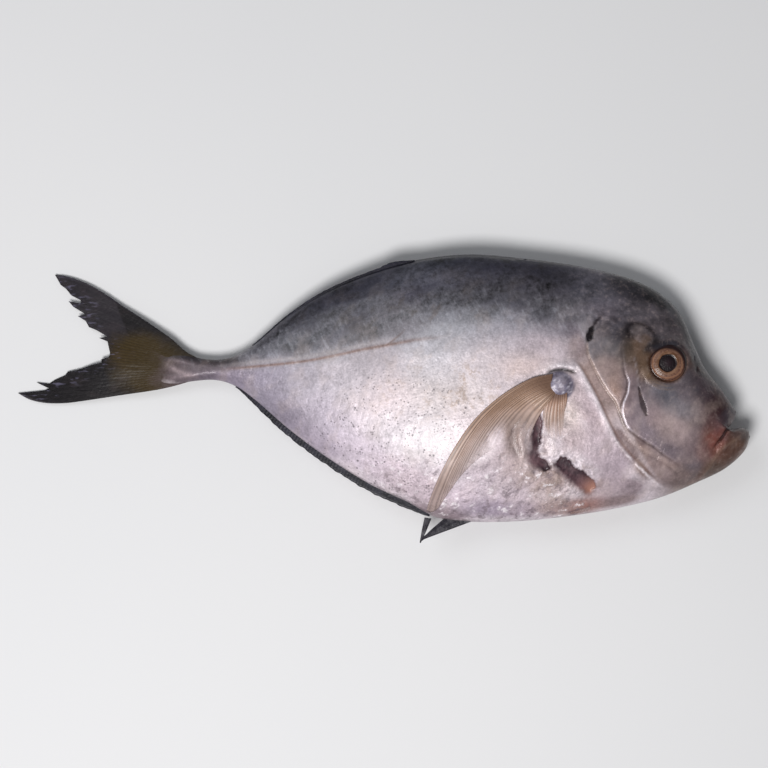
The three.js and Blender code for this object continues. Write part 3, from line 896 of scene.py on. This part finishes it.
def skin_finish():
    """Wet silver skin: pale flanks, a dark mottled back, pepper specks, a film of slime, and
    painted glints and shade on the crumpled belly.
    """
    skin = Finish("wet_fish_skin", Coat_Weight=0.15, Coat_Roughness=0.12, Specular_IOR_Level=0.3)
    cloud = skin.noise(60, detail=3)
    smear = skin.noise(150, stretch=(0.4, 1, 1), turn=-25, detail=5, roughness=0.6)
    blotch = skin.noise(150, stretch=(1, 0.55, 1), turn=30, detail=5, roughness=0.6)
    streak = skin.noise(430, stretch=(1, 0.16, 1), turn=14, detail=4)
    brush = skin.noise(800, stretch=(1, 0.22, 1), turn=-24, detail=4)
    fine = skin.noise(520, detail=4, roughness=0.65)
    grain = skin.noise(1300, detail=2)

    height = skin.attribute("dusk") + (cloud - 0.5) * 14 + (smear - 0.5) * 20 + (blotch - 0.5) * 8
    ramp = [
        (0, "#ddd1d9"), (0.3, "#cdc3ca"), (0.42, "#a9a5ad"), (0.5, "#83828a"), (0.62, "#605e66"),
        (0.76, "#45444f"), (0.9, "#2b2a34"), (1, "#1f1e27"),
    ]
    place = (height + 30) * (1 / 60)
    colour = skin.wire.node("ValToRGB", {"stops": ramp}, {0: place})
    painted = skin.attribute("tone", "Alpha")
    whole = skin.attribute("head")
    dark = height.step(-5, 4)
    over = dark * (1 - whole) * 0.4
    colour = (painted * (1 - over)).mix(colour, skin.attribute("tone", "Color"))
    trunk_only = 1 - whole
    foil = skin.attribute("foil")
    shine = skin.noise(330, stretch=(0.7, 1, 1), turn=-30, detail=5, roughness=0.7)
    beige = fine.step(0.46, 0.62) * (blotch + smear).step(0.9, 1.15) * skin.attribute("beige")
    dashes = brush.step(0.52, 0.68) * height.step(14, 2) * height.step(-14, -3)
    for mask, code in (
        (blotch.step(0.46, 0.64) * skin.attribute("mottle") * 0.8, "#4b4441"),
        (smear.step(0.47, 0.64) * height.step(2, 14) * trunk_only * 0.55, "#20202b"),
        (dashes * trunk_only * 0.14, "#b4b7c0"),
        (cloud.step(0.45, 0.62) * whole * 0.25, "#5f606c"),
        (blotch.step(0.48, 0.66) * height.step(8, -4) * 0.2, "#a89890"),
        (beige * 0.8, "#9c897c"),
        (fine.step(0.5, 0.7) * whole * 0.16, "#a89690"),
        # Painted shade and painted glints on the crumpled skin.
        (shine.step(0.47, 0.37) * foil * 0.75, "#7a6c74"),
        (shine.step(0.55, 0.65) * foil * 0.9, "#f8f0f5"),
    ):
        colour = mask.mix(colour, code)
    value = smear * 0.55 + streak * 0.3 + blotch * 0.55 + brush * 0.4 + fine * 0.5 - 0.15
    value = value + (grain - 0.5) * (0.6 - whole * 0.3)
    mottling = (smear - 0.5) * 2.2 + (blotch - 0.5) * 1.2 + (fine - 0.5) * 1.3
    value = value + mottling * (dark - dark * whole * 0.5 + whole * 0.1)
    colour = colour.scaled(value)

    gore = (blotch + (fine - 0.5) * 0.3).step(0.38, 0.66).mix("#35222b", "#6b5056")
    gore = (skin.attribute("redness") * 0.9).mix(gore, "#b07f70")
    opened = (skin.attribute("hole") + (fine - 0.5) * 0.5).step(0.05, 0.95)
    colour = opened.mix(colour, gore)

    colour = skin.root_blend().mix(colour, "#34280f")

    pepper = skin.attribute("pepper").step(0.1, 0.6)
    for scale, size, clusters, strength in ((850, 0.36, 0.5, 0.62), (520, 0.3, 0.57, 0.7)):
        cell = {"Vector": skin.place, "Scale": float(scale)}
        speck = skin.wire.node("TexVoronoi", None, cell).step(size, size / 2)
        rare = skin.noise(scale / 3, detail=2).step(clusters, clusters + 0.07)
        colour = (speck * rare * pepper * strength).mix(colour, "#443c44")

    silver = skin.attribute("silver")
    normal = skin.bump(smear + streak * 0.6, 0.0003)
    normal = skin.bump(fine, 0.0002, normal)
    normal = skin.bump(shine * foil, 0.0011, normal)
    skin.drive(
        Base_Color=colour,
        Metallic=silver * 0.15,
        Roughness=0.44 - over * 0.25 - whole * 0.14 + (smear - 0.5) * 0.3,
        Normal=normal,
    )
    return skin.material


def settle(piece, material, slot, *nodes):
    """Takes a finished piece from its drawing to its place in the frame."""
    piece.data.transform(Matrix.Scale(MM, 4) @ Matrix.Translation(OFFSET))
    piece.data.materials.append(material)
    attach(piece, "root")
    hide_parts(*nodes)


settle(body, skin_finish(), "skin", "body")

# ---- The eyes ----
# A flattened ball in each socket. A brown iris with fine fibres and a bright inner ring lies
# round a sunken dark pupil, all under the wet gloss of the cornea.

PUPIL = 3.35
IRIS = 6.0
EYEBALL = 7.4
EYE_DEPTH = 2.9
EYE_PROUD = 0.5


def eyeball(name, side):
    """A profile from the pupil's middle over the iris to the back, spun round."""
    skin = flank_height([EYE], side)[0]
    bm = bmesh.new()
    reach = np.concatenate([np.linspace(0, PUPIL + 0.5, 14), np.linspace(PUPIL + 0.8, EYEBALL, 26)])
    dome = (1 - (reach / EYEBALL) ** 2.6) ** (1 / 2.6) * EYE_DEPTH
    dome -= 0.3 * rise(reach, PUPIL + 0.25, PUPIL - 0.35) * (1 - 0.5 * (1 - reach / PUPIL).clip(0))
    dome += 0.12 * np.exp(-((reach - PUPIL - 0.6) / 0.45) ** 2)
    dome -= 0.14 * np.exp(-((reach - IRIS) / 0.3) ** 2)
    rim = [bm.verts.new((r, 0, z)) for r, z in zip(reach, dome)]
    rim.append(bm.verts.new((EYEBALL * 0.6, 0, -EYE_DEPTH * 0.8)))
    rim.append(bm.verts.new((0, 0, -EYE_DEPTH)))
    edges = [bm.edges.new(pair) for pair in zip(rim, rim[1:])]
    bmesh.ops.spin(
        bm, geom=rim + edges, cent=(0, 0, 0), axis=(0, 0, 1), angle=2 * np.pi, steps=96,
        use_merge=True,
    )
    bmesh.ops.remove_doubles(bm, verts=bm.verts, dist=WELD)
    bmesh.ops.recalc_face_normals(bm, faces=bm.faces)
    bmesh.ops.scale(bm, vec=(1, 1, side), verts=bm.verts)
    if side < 0:
        bmesh.ops.reverse_faces(bm, faces=bm.faces)
    middle = (*EYE, skin + side * (EYE_PROUD - EYE_DEPTH))
    bmesh.ops.translate(bm, vec=middle, verts=bm.verts)
    ball = as_piece(name, bm)
    x, y = (read(ball.data, "points")[:, :2] - EYE).T
    # The lid's shadow falls over the top, and over the side towards the gills.
    store(ball.data, range=np.hypot(x, y), lid=np.hypot(x + 0.3, y + 1.3))
    return ball


def eye_finish():
    """Rings by their distance from the pupil's middle, broken up by fibres and blotches."""
    eye = Finish("wet_eye", Coat_Weight=0.15, Coat_Roughness=0.08, Specular_IOR_Level=0.2)
    blotch = eye.noise(380, detail=4)
    fibre = eye.noise(1500, detail=2)
    ring = eye.attribute("range") + (blotch - 0.5) * 0.8
    bright = blotch.step(0.35, 0.65).mix("#5e3f2c", "#80604c")
    brown = fibre.step(0.3, 0.7).mix("#5a3d33", "#80604f")
    limbus = ring.step(IRIS - 0.1, IRIS + 0.3) * ring.step(IRIS + 0.8, IRIS + 0.4)
    shadow = (eye.attribute("lid") + (blotch - 0.5) * 0.5).step(5.9, 7.2)
    colour = ring.step(PUPIL - 0.15, PUPIL + 0.15).mix("#150b10", bright)
    for mask, code in (
        (ring.step(4.2, 4.7), brown),
        (ring.step(5.1, 5.4) * ring.step(6.0, 5.6) * 0.8, "#8c6650"),
        (limbus, "#4a2f26"),
        (ring.step(IRIS + 0.4, IRIS + 0.8), "#6b4c3c"),
        (ring.step(2.4, 0.2) * 0.4, "#33222a"),
        (shadow * 0.95, "#1d1014"),
    ):
        colour = mask.mix(colour, code)
    eye.drive(
        Base_Color=colour,
        Roughness=0.34 + (blotch - 0.5) * 0.2,
        Normal=eye.bump(fibre + blotch, 0.00012),
    )
    return eye.material


SIDES = (("right", 1), ("left", -1))
eye_material = eye_finish()
for word, way in SIDES:
    settle(eyeball(word + "_eyeball", way), eye_material, "eye", word + "_eye")

# ---- The pectoral fins ----
# A long sickle on each side: stiff rays that fan out from under the knob behind the gill
# opening, with thin brown membrane between them. The foremost rays are the longest and lie
# close together; the last ones are short and fade into the skin they lie on.

PECTORAL_LEAD = curve([
    (63.4, 9.6), (56, 8), (47.5, 3.6), (40, -2), (33.8, -8.2), (28.8, -15), (24.4, -22.5),
    (20.6, -30.5), (17.6, -38.4), (16.6, -42.4),
])
PECTORAL_LAST = curve([(64.8, 2.6), (61.6, -1.6), (58.8, -5.6), (56.2, -11), (54.4, -17.4)])
PECTORAL_ROOT = curve([(63.4, 9.6), (63.2, 6), (64.8, 2.6)])
PECTORAL_MARGIN = curve([
    (16.6, -42.4), (18.4, -43), (20.8, -41.6), (23, -38.2), (26.4, -33), (30.4, -27.6),
    (34.6, -23.4), (39, -20), (43.4, -17.4), (48, -16.6), (51.4, -18.4), (54.4, -17.4),
])
SHORT_FIRST = curve([(62.6, 3), (60.6, -1.2), (59.8, -6.4), (60.6, -11)])
SHORT_LAST = curve([(68.8, 3), (68.7, -0.6), (68, -4.2), (67.2, -7.4)])
SHORT_ROOT = curve([(62.6, 3), (65.6, 2.2), (68.8, 3)])
SHORT_MARGIN = curve([(60.6, -11), (63, -15), (66, -14.6), (67.4, -11), (67.2, -7.4)])
PECTORAL_RAYS = 17
SHORT_RAYS = 9
FIN_CLEARANCE = 0.03
ROOT_FULLNESS = 1.4  # how much thicker than its middle a fin is at its root


def patch(first, last, root, margin, along, across):
    """Points of a sheet between four edges: first and last run from root to margin."""
    u, v = along[:, None], across[:, None]
    over = at(first, along) * (1 - v) + at(last, along) * v
    out = at(root, across) * (1 - u) + at(margin, across) * u
    start = root[0] * (1 - v) + root[-1] * v
    end = margin[0] * (1 - v) + margin[-1] * v
    return over + out - start * (1 - u) - end * u


def rayed_sheet(edges, side, rays, crowd, lift, thick):
    """A place function for a fin that lies on a flank, ridged along its rays.

    The rays crowd towards the first edge as they run out, by crowd.
    """

    def place(along, across, face):
        flat = patch(*edges, along, across - crowd * along * across * (1 - across))
        skin = flank_height(flat, side)
        rim = rise(across, 0, 0.03) * rise(across, 1, 0.97) * rise(along, 1, 0.985)
        bead = np.abs(np.cos(np.pi * rays * across)) ** 0.7
        half = thick * (0.3 + 0.7 * bead) * (ROOT_FULLNESS - along) * rim
        lowest = thick * ROOT_FULLNESS + FIN_CLEARANCE
        height = np.maximum(skin + side * lift(along, across), lowest) + face * half
        return np.column_stack([flat, height])

    return place


def fin_finish(name, rays, root, web, tip, veil, dark_root):
    """Pale rays between darker webs. veil tells where the margin fades: across, then along."""
    fin = Finish(name, Coat_Weight=0.2, Coat_Roughness=0.2, Specular_IOR_Level=0.35)
    along, across = fin.attribute("along"), fin.attribute("across")
    cloud = fin.noise(150, detail=4)
    grain = fin.noise(900, detail=3)
    ray = (across * rays + (cloud - 0.5) * 0.35).comb()
    # Some webs are darker than others, and all are tight near the root.
    some = (across * rays * 0.37 + 0.2).comb() * 0.7 + along.step(0.05, 0.4) * 0.6
    fade = (along * 0.85 + across * 0.15 + (cloud - 0.5) * 0.4).step(0.25, 1)
    light = fade.mix(root, tip)
    dark = (fade * 0.6).mix(web, tip)
    colour = ((1 - ray.step(0.1, 0.65)) * some * (1 - across * 0.45)).mix(light, dark)
    colour = (along.step(0.3, 0.02) * dark_root).mix(colour, "#4a332c")
    colour = colour.scaled(0.7 + cloud * 0.35 + grain * 0.25)
    clear = (across + (cloud - 0.5) * 0.3).step(*veil[0]) * along.step(*veil[1])
    clear = clear * (0.8 + (1 - ray.step(0.15, 0.6)) * 0.2)
    end = along.step(veil[1][1] - 0.1, 1) * 0.6
    clear = clear + end - clear * end
    fin.drive(
        Base_Color=colour,
        Alpha=1 - clear,
        Roughness=0.46 + (grain - 0.5) * 0.2,
        Normal=fin.bump(grain, 0.00008),
    )
    return fin.material


pectoral_material = fin_finish(
    "pectoral_fin", PECTORAL_RAYS, root="#a98872", web="#533b30", tip="#c6b1ad",
    veil=((0.3, 0.85), (0.42, 0.8)), dark_root=0.6,
)
short_material = fin_finish(
    "short_rays", SHORT_RAYS, root="#a98470", web="#7c5d4e", tip="#d6c0b8",
    veil=((-1, -0.5), (0.35, 1)), dark_root=0.75,
)
for word, way in SIDES:
    fin = sewn(
        word + "_pectoral_rays", (110, 132),
        rayed_sheet(
            (PECTORAL_LEAD, PECTORAL_LAST, PECTORAL_ROOT, PECTORAL_MARGIN), way,
            PECTORAL_RAYS, 0.25,
            lambda along, across: (
                0.4 + 1.1 * rise(along, 0.4, 0.12) * rise(along, -0.1, 0.12) - 0.25 * across * along
            ),
            0.32,
        ),
    )
    settle(fin, pectoral_material, "paired_fin", word + "_pectoral_fin")
    short = sewn(
        word + "_short_rays", (50, 48),
        rayed_sheet(
            (SHORT_FIRST, SHORT_LAST, SHORT_ROOT, SHORT_MARGIN), way, SHORT_RAYS, 0,
            lambda along, across: 0.1 + 0.9 * rise(along, 0.7, 0.15), 0.2,
        ),
    )
    settle(short, short_material, "paired_fin", word + "_pectoral_fin")

# ---- The pelvic fins ----
# Two small limp blades on the belly, one each side of its keel, folded back against the skin.

PELVIC_LEAD = curve([(78.5, -40.6), (75.5, -41.6), (71.5, -42.8)])
PELVIC_TRAIL = curve([(77.5, -42.6), (75, -43.2), (71.5, -43.6)])
PELVIC_ROOT = curve([(78.5, -40.6), (78.6, -41.6), (77.5, -42.6)])
PELVIC_END = curve([(71.5, -42.8), (70.9, -43.2), (71.5, -43.6)])
PELVIC_RAYS = 5
pelvic_material = fin_finish(
    "pelvic_fin", PELVIC_RAYS, root="#b9a3a2", web="#a98f8c", tip="#a4807a",
    veil=((2, 3), (0, 2)), dark_root=0.1,
)
for word, way in SIDES:
    pelvic = sewn(
        word + "_pelvic_rays", (24, 16),
        rayed_sheet(
            (PELVIC_LEAD, PELVIC_TRAIL, PELVIC_ROOT, PELVIC_END), way, PELVIC_RAYS, 0,
            lambda along, across: 0.2 + 0.4 * along, 0.2,
        ),
    )
    settle(pelvic, pelvic_material, "paired_fin", word + "_pelvic_fin")

# ---- The tail fin ----
# Two long lobes of branching rays that leave the stalk's flesh. The inner edges are torn, and
# single rays stand out of them as barbs. Olive yellow at the root, smoky and clear at the ends.

TAIL_TOP = curve([
    (-70, 15.2), (-75.7, 18.3), (-80.8, 22.8), (-91, 29.9), (-100.2, 35.8), (-106.3, 40),
    (-114, 44.4), (-121.6, 47.2), (-126.5, 47.9),
])
TAIL_BOTTOM = curve([
    (-70, 8), (-78.3, 5.4), (-85.9, 3.6), (-101.2, 1.3), (-116.5, -1), (-122.6, -1.7),
    (-130.3, -1.6), (-136.2, -0.3), (-140.9, 2.2),
])
TAIL_ROOT = np.array([(-70, 15.2), (-70, 8)], float)
TAIL_MARGIN = np.array([
    (-126.5, 47.9), (-124.2, 43.9), (-122.1, 42.4), (-120.1, 39.9), (-116.4, 38), (-116.4, 36.6),
    (-121.2, 37.7), (-119.2, 35.4), (-114.5, 32.6), (-117.6, 31.9), (-114.5, 30), (-113.2, 27.6),
    (-110.4, 26.5), (-106, 23.9), (-109.4, 23.5), (-106, 22.2), (-105.8, 21), (-105, 17.6),
    (-105.4, 16), (-108.4, 15.3), (-108.3, 14), (-112, 13.1), (-116.5, 11.5), (-121.6, 10.4),
    (-122.6, 9), (-126.7, 7.2), (-128.7, 5.8), (-133.8, 6.4), (-128.6, 4.1), (-130.6, 3.2),
    (-140.9, 2.2),
])
TAIL_FOCUS = (-60, 11.8)
TAIL_RAYS = 36  # in a radian
TAIL_HALF = 0.26
TAIL_BEAD = 0.014


def tail_ray(flat):
    """Counts the tail's rays, which leave one point inside the stalk."""
    return np.arctan2(flat[:, 1] - TAIL_FOCUS[1], TAIL_FOCUS[0] - flat[:, 0]) * TAIL_RAYS


def tail_place(along, across, face):
    flat = patch(TAIL_TOP, TAIL_BOTTOM, TAIL_ROOT, TAIL_MARGIN, along, across)
    rim = rise(across, 0, 0.012) * rise(across, 1, 0.988) * rise(along, 1, 0.99)
    bead = np.abs(np.cos(np.pi * tail_ray(flat))) ** 0.7
    half = (TAIL_HALF + TAIL_BEAD * bead * rise(along, 0.1, 0.4)) * rim
    wave = 0.5 * np.sin(flat[:, 0] / 9) * np.sin(flat[:, 1] / 7) * rise(along, 0.3, 1)
    height = np.maximum(seat_height(flat[:, 0]) + wave, 0.6)
    return np.column_stack([flat, height + face * half])


def tail_finish():
    tail = Finish("tail_fin", Coat_Weight=0.08, Coat_Roughness=0.25, Specular_IOR_Level=0.15)
    along = tail.attribute("along")
    waver = tail.noise(130, detail=2)
    ray = (tail.attribute("ray") + (waver - 0.5) * 0.8).comb()
    cloud = tail.noise(70, detail=4)
    grain = tail.noise(800, detail=3)
    smoke = ray.mix("#110e11", "#161216")
    film = tail.attribute("film") + (cloud - 0.5) * 0.6
    smoke = (film.step(0.4, 0.6) * 0.8).mix(smoke, "#29252b")
    olive = ray.mix("#2f230a", "#3a2c0d")
    reach = tail.attribute("olive") + (cloud - 0.5) * 0.8
    colour = reach.step(0.3, 0.75).mix(smoke, olive)
    colour = (tail.attribute("edge").step(0.4, 1) * 0.4).mix(colour, "#5b5760")
    colour = tail.root_blend().mix("#574a4d", colour)
    glint = tail.noise(900, stretch=(0.3, 1, 1), detail=5).step(0.54, 0.68)
    colour = (glint * along.step(0.8, 1) * 0.45).mix(colour, "#7f7b96")
    colour = colour.scaled(0.6 + cloud * 0.5 + grain * 0.3)
    tail.drive(
        Base_Color=colour,
        Alpha=1 - along.step(0.6, 1) * (0.05 + (1 - ray) * 0.06),
        Roughness=0.36 + (grain - 0.5) * 0.25,
        Normal=tail.bump(grain, 0.0001),
    )
    return tail.material


tail = sewn("tail_rays", (90, 270), tail_place)
tail_flat = read(tail.data, "points")[:, :2]
tail_x, tail_y = tail_flat.T
dark_edge = rise(tail_y + 0.6 * tail_x, -35.5, -33.5)
store(
    tail.data, ray=tail_ray(tail_flat), olive=spot(tail_flat, -89, 13, 19, 15, -20),
    root=np.maximum(tail_root(tail_flat), dark_edge),
    film=rise(tail_x + 0.4 * tail_y, -85, -91) * rise(tail_y, 18, 24),
    edge=rise(np.abs(read(tail.data, "across") - 0.5) * 2, 0.95, 1),
)
settle(tail, tail_finish(), "tail_fin", "tail_fin")

# ---- The dorsal and anal fins ----
# Both lie folded along the body's edge as a low fringe of short rays. The anal fin's first rays
# stand out behind the belly as a pointed lobe with a gap between them.

FRINGE_HALF = 0.3


def fringe(outline, start, end, height, outward):
    """A place function for a fringe: from start to end of an outline, height by its share."""
    height = curve(height)
    shares = np.linspace(0, 1, 2001)
    way = at(outline, shares)
    tangent = np.gradient(way, axis=0)
    normal = np.column_stack([-tangent[:, 1], tangent[:, 0]])
    normal *= outward / np.linalg.norm(normal, axis=1)[:, None]

    def place(along, across, face):
        share = start + (end - start) * along
        foot = at(outline, share)
        lean = np.column_stack([np.interp(share, shares, axis) for axis in normal.T])
        tall = np.interp(along, height[:, 0], height[:, 1])
        wave = np.sin(along * 61) + np.sin(along * 97 + 2) + np.sin(along * 167 + 4)
        tall *= 1 + 0.035 * wave * rise(across, 0.3, 1)
        flat = foot + lean * ((across * 1.35 - 0.35) * tall)[:, None]
        rim = rise(across, 1, 0.9) * rise(along, 0, 0.01) * rise(along, 1, 0.99)
        half = (FRINGE_HALF + 0.02 * np.cos(along * 440 + across * 2)) * rim
        return np.column_stack([flat, seat_height(flat[:, 0]) + face * half])

    return place


def fringe_finish(name, dark, light, rays, clear=0.0):
    fold = Finish(name, Coat_Weight=0.1, Coat_Roughness=0.15, Specular_IOR_Level=0.15)
    along, across = fold.attribute("along"), fold.attribute("across")
    cloud = fold.noise(220, detail=4)
    grain = fold.noise(1100, detail=2)
    ray = (along * rays + across * 0.8 + (cloud - 0.5) * 0.8).comb()
    colour = (ray * 0.14 + cloud.step(0.35, 0.7) * 0.7).mix(dark, light)
    colour = colour.scaled(0.75 + grain * 0.5)
    fold.drive(
        Base_Color=colour,
        Alpha=1 - cloud.step(0.3, 0.7) * clear,
        Roughness=0.34 + (grain - 0.5) * 0.2,
        Normal=fold.bump(grain, 0.0001),
    )
    return fold.material


fringe_material = fringe_finish("folded_fin", "#14141c", "#302f3b", 70)
dorsal = sewn(
    "dorsal_fringe", (260, 8),
    fringe(
        BACK, 0.43, 0.16,
        [(0, 0.2), (0.05, 0.7), (0.11, 1.4), (0.16, 1.3), (0.24, 0.7), (0.6, 0.6), (1, 0.3)], 1,
    ),
)
settle(dorsal, fringe_material, "folded_fin", "dorsal_fin")
anal = sewn(
    "anal_fringe", (320, 10),
    fringe(
        BELLY, 0.5, 0.16,
        [(0, 0.6), (0.06, 1.6), (0.14, 2.3), (0.3, 2.4), (0.75, 2), (1, 0.4)], -1,
    ),
)
settle(anal, fringe_material, "folded_fin", "anal_fin")

# The anal fin's pointed lobe: two stiff spines that cross, and a thin web below them.
lobe_material = fringe_finish("anal_lobe", "#1d1b23", "#4a4750", 5, clear=0.35)
for name, first, last, root, margin in [
    (
        "anal_lobe_spine",
        [(16, -45), (14.9, -50), (14.1, -54.5)], [(18.6, -45.4), (16.4, -50.8), (14.6, -54.7)],
        [(16, -45), (17.2, -45.3), (18.6, -45.4)], [(14.1, -54.5), (14.3, -54.8), (14.6, -54.7)],
    ),
    (
        "anal_lobe_brace",
        [(23.4, -45.4), (19, -49.2), (15, -53)], [(24.8, -45.6), (20, -50), (15, -54)],
        [(23.4, -45.4), (24.2, -45.5), (24.8, -45.6)], [(15, -53), (15, -53.5), (15, -54)],
    ),
    (
        "anal_lobe_web",
        [(15, -52.8), (19, -49.4), (23.6, -45.6)], [(15.2, -53.6), (22, -51), (35.4, -46)],
        [(15, -52.8), (15.1, -53.2), (15.2, -53.6)], [(23.6, -45.6), (29, -45), (35.4, -46)],
    ),
]:
    first, last, root, margin = (curve(edge) for edge in (first, last, root, margin))

    def lobe_place(along, across, face):
        flat = patch(first, last, root, margin, along, across)
        rim = rise(across, 0, 0.12) * rise(across, 1, 0.88) * rise(along, 1, 0.95)
        half = (0.22 + 0.12 * np.abs(np.cos(across * np.pi * 3))) * rim
        return np.column_stack([flat, seat_height(flat[:, 0]) + face * half])

    settle(sewn(name, (40, 14), lobe_place), lobe_material, "folded_fin", "anal_fin")

# ---- The table's finish, and the end ----

pale_table = Finish("pale_table")
clouds = pale_table.noise(6, detail=2)
pale_table.drive(
    Base_Color=clouds.mix("#dcdddf", "#e2e2e3"), Roughness=0.6 + clouds * 0.1
)
table.data.materials.append(pale_table.material)
